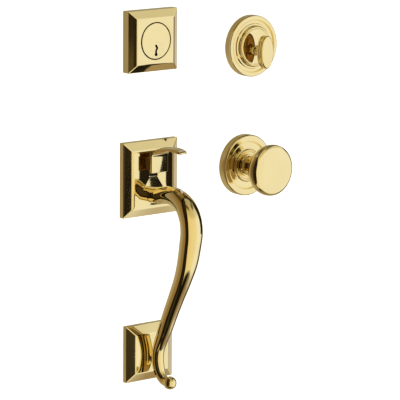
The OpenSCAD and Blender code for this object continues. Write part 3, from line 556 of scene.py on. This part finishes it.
# Upper rose. A taller bevelled cover of the same brass, with an upright slot that
# the thumb lever's shank passes through. Two tapped posts behind it take the
# knob's screws, which draw both sides together on the door.
upper_w, upper_h = 69.5, 76.6
upper_side, upper_bevel, upper_rise, upper_soft = 5.4, 9.6, 5.2, 8.0
upper_face = upper_side + upper_rise
shank_w = 9.4
slot_w = shank_w + 1.2
slot_low, slot_high = 1.8, 20.3
slot_round = 0.5


def slot_ring(z, spread=0.0, drop=0.0):
    mid = (slot_low + slot_high) / 2
    ring = corner_ring(slot_w + 2 * spread, slot_high - slot_low + 2 * spread, slot_round + spread, z)
    return [(x, y + mid - drop, z) for x, y, z in ring]


outer, inner = bevelled_shell(upper_w, upper_h, upper_side, upper_bevel, upper_rise, upper_soft)
count = len(outer[0])
points = [p for ring in inner[::-1] + outer for p in ring]
faces = []
skin_rings(faces, 0, len(inner) + len(outer), count)
start = len(points)
lip = ((0, upper_face - face_t), (0, upper_face - 0.25), (0.07, upper_face - 0.07), (0.25, upper_face))
points += [p for spread, z in lip for p in slot_ring(z, spread)]
skin_rings(faces, start, len(lip), count)
flat_between(faces, points, range(0, count), range(start, start + count))
flat_between(faces, points, range(start - count, start), range(len(points) - count, len(points)))
upper_cover = make_piece("upper_cover", on_door(points, 0, 0), faces)
dress(upper_cover, bright_brass, "polished_brass", "door_side", "upper_rose")
# A black oxide steel for the posts and the parts behind the slot; its near-black tone is also painted shade seen
# through the slot.
blackened_steel_and_shade = metal("blackened_steel_and_shade", (0.045, 0.043, 0.04), (0.025, 0.024, 0.023), (0.38, 0.55),
                        (200.0, 1500.0, 900.0), (0.35, 0.0001))
finish_nodes(blackened_steel_and_shade, "upper_posts")

# Grip. One solid brass casting, round in section: a level arm on the upper rose,
# a swelling bow for the hand, a slender lower run that turns out again, and a
# ball on a short neck. One screw from behind holds its arm.
lower_drop, arm_drop, post_drop = 179.8, 16.6, 7.2
grip_reach, grip_t, ball_d = 72.0, 22.4, 13.5
way = lower_drop - arm_drop
stations = [
    (0.11, 0.003, 0.74), (0.19, 0, 0.74), (0.33, -0.008, 0.775), (0.49, -0.02, 0.80),
    (0.65, -0.016, 0.84), (0.79, 0.006, 0.885), (0.905, 0.05, 0.955), (0.98, 0.113, 0.99),
    (1, 0.183, 1), (0.978, 0.251, 0.99), (0.917, 0.371, 0.93), (0.811, 0.49, 0.81),
    (0.676, 0.608, 0.735), (0.545, 0.722, 0.695), (0.429, 0.831, 0.66), (0.33, 0.918, 0.60),
    (0.278, 0.975, 0.572), (0.262, 1.026, 0.563), (0.278, 1.075, 0.545),
    (0.32, 1.121, 0.50), (0.39, 1.154, 0.445), (0.45, 1.163, 0.42)]


def smooth(knots, steps):
    """A curve through points of any dimension, the same as the source's own."""
    last = len(knots) - 1
    run = []
    for i in range(last):
        p, q, r, s = (knots[j] for j in (max(i - 1, 0), i, i + 1, min(i + 2, last)))
        for k in range(steps):
            t = k / steps
            run.append(tuple(
                0.5 * (2 * b + (c - a) * t + (2 * a - 5 * b + 4 * c - d) * t * t + (3 * b - a - 3 * c + d) * t ** 3)
                for a, b, c, d in zip(p, q, r, s)))
    run.append(tuple(knots[last]))
    return run


spine = [(s[0] * grip_reach, -arm_drop - s[1] * way, s[2] * grip_t / 2) for s in smooth(stations, 10)]
spine = [s for s in spine if s[0] > upper_face - 0.2]
end_out, end_up, neck_r = spine[-1]
ball_r = ball_d / 2
ball_out = end_out + 1.6 + math.sqrt(ball_r ** 2 - neck_r ** 2)
from_a = -math.acos(neck_r / ball_r)
for i in range(25):
    a = from_a + (math.radians(89) - from_a) * i / 24
    spine.append((ball_out + ball_r * math.sin(a), end_up, ball_r * math.cos(a)))
around_grip = 56
points, faces = [], []
for i, (out, rise, r) in enumerate(spine):
    before, after = spine[max(i - 1, 0)], spine[min(i + 1, len(spine) - 1)]
    run = Vector((after[0] - before[0], after[1] - before[1])).normalized()
    for k in range(around_grip):
        a = 2 * math.pi * k / around_grip
        points.append((r * math.cos(a), rise + r * math.sin(a) * run.x, out - r * math.sin(a) * run.y))
skin_rings(faces, 0, len(spine), around_grip)
faces.append(tuple(range(around_grip)))
faces.append(tuple(range(len(points) - around_grip, len(points))))
cast_grip = make_piece("cast_grip", on_door(points, 0, 0), faces, sharp=50)
dress(cast_grip, bright_brass, "polished_brass", "door_side", "grip")

screw_tree, source, add = tree_kit("pan_screw", "Head Radius", "Head Height", "Shank Radius", "Shank Length",
                                   "Pitch", "Recess Width", "Turn", "Finish")


def turned_bar(start, end, rings, radius, sides=28):
    """A round bar on the z axis whose radius changes from ring to ring."""
    ends = [add("ShaderNodeCombineXYZ", Z=z) for z in (start, end)]
    axis = add("GeometryNodeCurvePrimitiveLine", Start=ends[0].outputs[0], End=ends[1].outputs[0])
    cut_up = add("GeometryNodeResampleCurve", Curve=axis.outputs[0], Count=rings)
    spread = add("GeometryNodeSetCurveRadius", Curve=cut_up.outputs[0], Radius=radius)
    unit = add("GeometryNodeCurvePrimitiveCircle", Resolution=sides, Radius=1.0)
    body = add("GeometryNodeCurveToMesh", Curve=spread.outputs[0], Profile_Curve=unit.outputs[0], Fill_Caps=True)
    if "Scale" in body.inputs:
        screw_tree.links.new(radius, body.inputs["Scale"])
    return body.outputs[0]


def reckon(kind, first, second=0.0):
    return add("ShaderNodeMath", ("operation", kind), _0=first, _1=second).outputs[0]


along = add("GeometryNodeSplineParameter").outputs["Factor"]
dome = reckon("MULTIPLY", source.outputs["Head Radius"],
              reckon("SUBTRACT", 1.0, reckon("MULTIPLY", reckon("POWER", along, 3.0), 0.45)))
head = turned_bar(0.0, source.outputs["Head Height"], 9, dome)
crest = reckon("MODULO", add("GeometryNodeInputIndex").outputs[0], 2.0)
thread = reckon("MULTIPLY", source.outputs["Shank Radius"], reckon("SUBTRACT", 1.0, reckon("MULTIPLY", crest, 0.13)))
rings = reckon("ADD", reckon("MULTIPLY", reckon("DIVIDE", source.outputs["Shank Length"], source.outputs["Pitch"]), 2.0), 2.0)
shank_end = reckon("MULTIPLY", source.outputs["Shank Length"], -1.0)
threaded = turned_bar(reckon("MULTIPLY", source.outputs["Head Height"], 0.2), shank_end, rings, thread, 20)
recess = add("GeometryNodeJoinGeometry")
for first, second in ((1.1, 0), (0, 1.1)):
    spans = [reckon("MULTIPLY", source.outputs["Head Radius"], 1.1) if part else source.outputs["Recess Width"]
             for part in (first, second)]
    size = add("ShaderNodeCombineXYZ", X=spans[0], Y=spans[1], Z=source.outputs["Head Height"])
    bar = add("GeometryNodeMeshCube", Size=size.outputs[0])
    lift = add("ShaderNodeCombineXYZ", Z=source.outputs["Head Height"])
    raised = add("GeometryNodeTransform", Geometry=bar.outputs[0], Translation=lift.outputs[0])
    screw_tree.links.new(raised.outputs[0], recess.inputs[0])
crossed = add("GeometryNodeMeshBoolean", ("operation", "DIFFERENCE"), _0=head)
screw_tree.links.new(recess.outputs[0], crossed.inputs["Mesh 2"])
whole = add("GeometryNodeJoinGeometry")
for part in (crossed.outputs["Mesh"], threaded):
    screw_tree.links.new(part, whole.inputs[0])
finish_tree(screw_tree, source, add, whole.outputs[0])
from_front, from_behind = (math.pi / 2, 0.0, 0.0), (-math.pi / 2, 0.0, 0.0)


def pan_screws(name, d, length, turn, places, body, node):
    """Pan head screws with a cross recess, whose heads rest at the given places."""
    piece = grow(name, screw_tree, places,
                 {"Head Radius": d / 1000, "Head Height": 0.6 * d / 1000, "Shank Radius": d / 2000,
                  "Shank Length": length / 1000, "Pitch": 0.0007, "Recess Width": 0.22 * d / 1000,
                  "Turn": turn, "Finish": plated_steel})
    dress(piece, plated_steel, "steel", body, node)


pan_screws("arm_screw", 4.2, 15.0, from_behind, on_door([(0, -arm_drop, upper_face - face_t)], 0, 0),
           "door_side", "grip_screw")

# Lower rose and post. A smaller bevelled cover, and a steel post through it that
# is threaded behind for a screw from inside the door and enters the grip in front.
lower_w, lower_h = 60.0, 58.7
lower_side, lower_bevel, lower_rise, lower_soft = 4.6, 9.4, 5.1, 3.0
lower_face = lower_side + lower_rise
stud_hole_r = 5.4 / 2 + 0.15
outer, inner = bevelled_shell(lower_w, lower_h, lower_side, lower_bevel, lower_rise, lower_soft)
count = len(outer[0])
points = [p for ring in inner[::-1] + outer for p in ring]
faces = []
skin_rings(faces, 0, len(inner) + len(outer), count)
start = len(points)
bore = ((stud_hole_r, lower_face - face_t), (stud_hole_r, lower_face - 0.2), (stud_hole_r + 0.2, lower_face))
points += [p for r, z in bore for p in circle_ring(r, z, 48, post_drop)]
skin_rings(faces, start, len(bore), 48)
flat_between(faces, points, range(0, count), range(start, start + 48))
flat_between(faces, points, range(start - count, start), range(len(points) - 48, len(points)))
lower_cover = make_piece("lower_cover", on_door(points, 0, -lower_drop), faces)
dress(lower_cover, bright_brass, "polished_brass", "door_side", "lower_rose")
finish_nodes(plated_steel, "lower_post")

# Thumb lever. A forged brass plate that stands before the rose and carries the
# arched rest for the thumb. Its shank passes the slot to a pin in a steel
# bracket, and a spring behind the rose lifts the rest again.
thumb_w, thumb_tip_w, thumb_reach = 21.0, 11.0, 58.5
plate_out, plate_t = 20.8, 2.8
plate_low, rest_low, cove_r = 7.3, 29.6, 6.5
pivot_up, pivot_out, pivot_r, hub_r = 14.0, 3.4, 2.05, 4.6
tip_r = 2.4
lever_round = 0.55
crown_r = 36.0


def arc(cx, cy, r, start, end, steps):
    return [(cx + r * math.cos(math.radians(start + (end - start) * i / steps)),
             cy + r * math.sin(math.radians(start + (end - start) * i / steps))) for i in range(steps + 1)]


plate_back = plate_out - plate_t
under = (arc(plate_back + 0.6, plate_low + 0.6, 0.6, 180, 270, 4) + arc(plate_out - 0.6, plate_low + 0.6, 0.6, 270, 360, 4)
         + arc(plate_out + cove_r, rest_low - cove_r, cove_r, 180, 90, 14)
         + smooth([(plate_out + cove_r + 4, rest_low + 1), (thumb_reach * 0.68, rest_low + 2.6),
                   (thumb_reach * 0.84, rest_low + 2.6), (thumb_reach - 1, rest_low + 1.4)], 8))
over_top = (arc(thumb_reach - 1.2, rest_low + 2.4, 1.2, -50, 60, 8)
            + smooth([(thumb_reach - 3, rest_low + 4.6), (thumb_reach * 0.82, rest_low + 5.7),
                      (thumb_reach * 0.66, rest_low + 5.8), (thumb_reach * 0.5, rest_low + 4.6),
                      (plate_out + 2, rest_low + 2.2), (plate_back + 1, rest_low + 1), (plate_back, rest_low - 1)], 8))
side_line = under + over_top
crowned = [0] * len(under) + [1] * len(over_top)


def half_width(out):
    """Half the lever's width: full at the plate, tapering to the round-cornered tip."""
    centre = thumb_tip_w / 2 - tip_r
    join = (centre + tip_r * math.cos(math.radians(12)), thumb_reach - tip_r + tip_r * math.sin(math.radians(12)))
    if out <= plate_out + 2:
        return thumb_w / 2
    if out <= join[1]:
        return thumb_w / 2 + (join[0] - thumb_w / 2) * (out - plate_out - 2) / (join[1] - plate_out - 2)
    return centre + math.sqrt(max(tip_r ** 2 - (out - thumb_reach + tip_r) ** 2, 0))


def inward(line, i):
    """The direction from a point of a closed line to its inside."""
    a, b = Vector(line[i - 1]), Vector(line[(i + 1) % len(line)])
    run = (b - a).normalized()
    return Vector((-run.y, run.x))


columns = [(-1, a) for a in (90, 60, 30)] + [(s / 8, 0) for s in range(-8, 9)] + [(1, a) for a in (30, 60, 90)]
points, faces = [], []
for share, turn in columns:
    turn = math.radians(turn)
    for i, (out, rise) in enumerate(side_line):
        half = half_width(out) - lever_round
        inset = lever_round * (1 - math.cos(turn))
        step = inward(side_line, i) * inset
        x = share * half + math.copysign(lever_round * math.sin(turn), share) * (turn > 0)
        drop = crowned[i] * x * x / (2 * crown_r) * min(1, max(0, (out - plate_back) / 12))
        points.append((x, rise + step.y - drop, out + step.x))
count = len(side_line)
skin_rings(faces, 0, len(columns), count)
for first in (0, len(points) - count):
    cap = [Vector((points[i][2], points[i][1], 0)) for i in range(first, first + count)]
    faces += [tuple(first + j for j in tri) for tri in tessellate_polygon([cap])]
lever = make_piece("thumb_rest_and_plate", on_door(points, 0, 0), faces, sharp=40)


def solid_bar(name, outline, half, centre=0.0):
    """An outline in out and up, drawn out across the door to both sides of its centre."""
    n = len(outline)
    points = [(centre + side * half, u, o) for side in (-1, 1) for o, u in outline]
    faces = [tuple(range(n)), tuple(range(n, 2 * n))]
    skin_rings(faces, 0, 2, n)
    return make_piece(name, on_door(points, 0, 0), faces)


shank_low, shank_high = 8.5, 20.0
tail_low, tail_high, tail_back = pivot_up - 2, pivot_up + 3, -8.0
hub_line = arc(pivot_out, pivot_up, hub_r, math.degrees(math.asin((tail_high - pivot_up) / hub_r)) * -1 + 180, 90, 10)
low_line = arc(pivot_out, pivot_up, hub_r, 270, 180 + math.degrees(math.asin((pivot_up - tail_low) / hub_r)), 10)
shank_line = ([(tail_back, tail_low), (tail_back, tail_high)] + hub_line
              + [(pivot_out + 0.01, shank_high), (plate_back + 1, shank_high), (plate_back + 1, shank_low),
                 (pivot_out + 0.01, shank_low)] + low_line)
shank = solid_bar("shank", shank_line, shank_w / 2)
pin_bore = solid_bar("pin_bore", arc(pivot_out, pivot_up, pivot_r, 0, 350, 35), shank_w)


def cut(piece, tool, kind):
    """Joins or cuts two solids for good."""
    step = piece.modifiers.new(kind, "BOOLEAN")
    step.operation = kind
    step.solver = "EXACT"
    step.object = tool
    seen_mesh = bpy.data.meshes.new_from_object(piece.evaluated_get(bpy.context.evaluated_depsgraph_get()))
    piece.modifiers.clear()
    piece.data = seen_mesh
    bpy.data.objects.remove(tool)


cut(shank, pin_bore, "DIFFERENCE")
cut(lever, shank, "UNION")
lever.data.set_sharp_from_angle(angle=math.radians(40))
# The lever's faces towards the door get the darker brass, as painted shade.
dress(lever, bright_brass, "polished_brass", "thumb", "thumb_lever", shaded_faces=lambda face: face.normal.y > 0.5)
# The bracket, arm and pin behind the slot are near-black, partly as painted shade seen through the slot.
finish_nodes(blackened_steel_and_shade, "lift_arm", "thumb_bracket", "thumb_pin")
pan_screws("bearing_screws", 3.0, 3.4, from_behind,
           on_door([(side * 10.9, rise, 6.0) for side in (-1, 1) for rise in (8, 22)], 0, 0), "door_side", "bracket_screws")
finish_nodes(plated_steel, "arm_rivets")
lift_coil = grow("lift_coil", coil_tree, on_door([(0, tail_high + 0.35, -4)], 0, 0),
                 {"Coil Radius": 0.0026, "Wire Radius": 0.00035, "Turns": 4.0, "Height": 0.0057,
                  "Turn": (0.0, 0.0, 0.0), "Finish": spring_wire})
dress(lift_coil, spring_wire, "spring_steel", "door_side", "thumb_spring")
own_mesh(lift_coil)

# Thumb turn, inside. A stepped round rose spun from brass sheet, and a forged
# oval turn with a groove round its edge on a waisted neck. Its journal runs in
# the rose and drives a slotted spindle that takes the cylinder's tailpiece.
turn_across, turn_up, turn_drop = 132.5, 123.6, 4.2
turn_rim, turn_disc = 8.5, 12.0
turn_h, turn_w, turn_out = 34.0, 16.0, 31.2
round_r = 31.75


def lathe(name, outline, across, rise, steps=160, sharp=32):
    points = [p for r, z in outline for p in circle_ring(max(r, 0.0001), z, steps)]
    faces = []
    skin_rings(faces, 0, len(outline), steps)
    return make_piece(name, on_door(points, across, rise), faces, sharp, 0.000002)


turn_line = (
    [(29.55, 0), (round_r - 0.3, 0), (round_r, 0.3), (round_r, turn_rim - 1.6), (round_r, turn_rim - 1.4)]
    + arc(round_r - 1.4, turn_rim - 1.4, 1.4, 15, 90, 8)
    + [(30, turn_rim), (27.9, turn_rim)] + arc(27.7, turn_rim - 0.25, 0.25, 90, 160, 3)
    + [(27.15, turn_rim - 1.35), (27.05, turn_rim - 1.4), (26.95, turn_rim - 1.37), (26.0, turn_rim - 0.78),
       (25.7, turn_rim - 0.72), (23.7, turn_rim - 0.7)]
    + arc(23, turn_disc - 0.6, 2.8, 270, 180, 10)
    + arc(19.7, turn_disc - 0.5, 0.5, 0, 90, 5)
    + [(19.5, turn_disc), (19.3, turn_disc), (19.15, turn_disc - 0.05), (18.5, turn_disc - 0.62), (18.4, turn_disc - 0.66),
       (18.3, turn_disc - 0.62), (17.6, turn_disc - 0.05), (17.45, turn_disc), (17, turn_disc), (0, turn_disc)])
turn_under = [(0, turn_disc - 2.5), (17.2, turn_disc - 2.5), (21, 5.8), (29.55, 5.8), (29.55, 0)]
turn_cover = lathe("turn_cover", turn_line + turn_under, turn_across, turn_up)
dress(turn_cover, bright_brass, "polished_brass", "door_side", "turn_rose")

turn_back = turn_out - 9.8
turn_sections = [
    (0.62, 0.76, -0.25), (0.74, 0.84, 0.05), (0.86, 0.925, 0.45), (0.93, 0.965, 0.95), (0.965, 0.985, 1.7),
    (0.98, 0.99, 2.5), (0.975, 0.99, 3.1), (0.955, 0.98, 3.55), (0.9, 0.955, 3.85), (0.875, 0.945, 4.1),
    (0.875, 0.945, 4.45), (0.9, 0.955, 4.7), (0.96, 0.982, 4.9), (0.99, 0.995, 5.3), (1, 1, 6), (1, 1, 7.6),
    (0.997, 0.998, 8.2), (0.988, 0.994, 8.55), (0.975, 0.988, 8.75), (0.885, 0.945, 9.32), (0.872, 0.939, 9.37),
    (0.855, 0.93, 9.4), (0.8, 0.88, 9.45), (0.6, 0.66, 9.62), (0.3, 0.33, 9.77), (0.02, 0.02, 9.8)]
points, faces = [], []
for wide, tall, z in turn_sections:
    for k in range(96):
        a = 2 * math.pi * k / 96
        points.append((wide * turn_w / 2 * math.cos(a), tall * turn_h / 2 * math.sin(a), turn_back + z))
skin_rings(faces, 0, len(turn_sections), 96)
faces += [tuple(range(96)), tuple(range(len(points) - 96, len(points)))]
turn_oval = make_piece("turn_oval", on_door(points, turn_across, turn_up - turn_drop), faces, 40)
foot = turn_disc + 0.3
neck_line = ([(0, foot), (5.4, foot), (5.4, foot + 0.6)]
             + smooth([(5, foot + 1), (3.9, foot + 3.4), (4, foot + 5.4), (5.2, foot + 8), (6.4, turn_back + 0.8)], 8)
             + [(0, turn_back + 0.8)])
turn_neck = lathe("turn_neck", neck_line, turn_across, turn_up - turn_drop, 96)
cut(turn_oval, turn_neck, "UNION")
journal = lathe("journal", [(0, 1.5), (4, 1.5), (4, foot + 0.2), (0, foot + 0.2)], turn_across, turn_up - turn_drop, 64)
cut(turn_oval, journal, "UNION")
turn_oval.data.set_sharp_from_angle(angle=math.radians(40))
# The turn's faces towards the door get the darker brass, as painted shade.
dress(turn_oval, bright_brass, "polished_brass", "turn", "turn_piece", shaded_faces=lambda face: face.normal.y > 0.3)
pan_screws("turn_fixing_screws", 4.2, 16.0, from_front,
           on_door([(side * 12.5, 11.5 - turn_drop, 2) for side in (-1, 1)], turn_across, turn_up),
           "door_side", "turn_screws")
finish_nodes(plated_steel, "turn_plate", "turn_spindle")
finish_nodes(sintered_bronze, "turn_washer")
finish_nodes(spring_wire, "turn_clip")

# Knob, inside. A stepped round rose with a raised collar, and a hollow-looking but
# solid round knob, spun smooth with a broad, barely domed front inside a fine
# step. Its shank runs in a bronze bushing, and a set screw holds the spindle.
knob_across = 125.9
knob_rim, knob_d, knob_out = 9.5, 52.7, 52.8
knob_r = knob_d / 2
knob_front = knob_out - 2.5
knob_hole_r = 10.2
collar_low = knob_rim + 0.2
knob_cover_line = (
    [(29.55, 0), (round_r - 0.3, 0), (round_r, 0.3), (round_r, knob_rim - 2.5), (round_r, knob_rim - 2.2)]
    + arc(round_r - 2.2, knob_rim - 2.2, 2.2, 10, 90, 10)
    + [(29.2, knob_rim), (25.6, knob_rim)] + arc(25.4, knob_rim - 0.2, 0.2, 90, 160, 3)
    + [(24.8, knob_rim - 2.0), (24.7, knob_rim - 2.05), (24.6, knob_rim - 2.02), (23.6, knob_rim - 1.44),
       (23.3, knob_rim - 1.4), (18.9, knob_rim - 1.35)]
    + arc(18.3, knob_rim + 0.6, 2, 270, 200, 8) + arc(15.7, knob_rim - 0.2, 0.5, 0, 180, 10)
    + arc(13.2, knob_rim + 0.3, 1.6, 340, 270, 8)
    + [(12.8, knob_rim - 0.6), (knob_hole_r + 0.2, knob_rim - 0.6), (knob_hole_r, knob_rim - 0.8)])
knob_cover_under = [(knob_hole_r, 7.1), (13.2, 6.8), (13.6, 6.1), (29.55, 6.1), (29.55, 0)]
knob_cover = lathe("knob_cover", knob_cover_line + knob_cover_under, knob_across, 0)
dress(knob_cover, bright_brass, "polished_brass", "door_side", "knob_rose")

ring_low, ring_high, groove_r, shank_r, shank_end = -1.6, -0.4, 9.0, 9.9, -3.0
knob_line = (
    [(0, shank_end), (shank_r - 0.3, shank_end), (shank_r, shank_end + 0.3), (shank_r, ring_low), (groove_r, ring_low),
     (groove_r, ring_high), (shank_r, ring_high), (shank_r, collar_low), (11, collar_low)]
    + arc(11.1, collar_low + 0.6, 0.6, -60, 90, 8)
    + smooth([(10.3, collar_low + 1.4), (9.2, collar_low + 3.4), (8.9, collar_low + 6.5), (9.3, collar_low + 10),
              (11.2, collar_low + 13.6), (15.2, collar_low + 17.6), (knob_r * 0.75, knob_front - 18.2),
              (knob_r * 0.885, knob_front - 13.4), (knob_r * 0.972, knob_front - 9), (knob_r, knob_front - 5.6),
              (knob_r * 0.998, knob_front - 3.4), (knob_r * 0.99, knob_front - 2.1), (knob_r * 0.977, knob_front - 1.35),
              (knob_r * 0.96, knob_front - 0.95)], 10)
    + [(knob_r * 0.905, knob_front + 0.02), (knob_r * 0.898, knob_front + 0.12)]
    + smooth([(knob_r * 0.888, knob_front + 0.2), (knob_r * 0.84, knob_front + 0.42), (knob_r * 0.6, knob_front + 1.5),
              (knob_r * 0.3, knob_out - 0.2), (0, knob_out)], 12))
spun_knob = lathe("spun_knob", knob_line, knob_across, 0, 192)
dress(spun_knob, bright_brass, "polished_brass", "knob_set", "knob")
pan_screws("knob_fixing_screws", 4.2, 16.0, from_front,
           on_door([(side * 17, 0, 2) for side in (-1, 1)], knob_across, 0), "door_side", "knob_screws")
finish_nodes(plated_steel, "knob_plate", "knob_spindle", "knob_set_screw")
finish_nodes(sintered_bronze, "knob_bushing")
finish_nodes(spring_wire, "knob_ring")
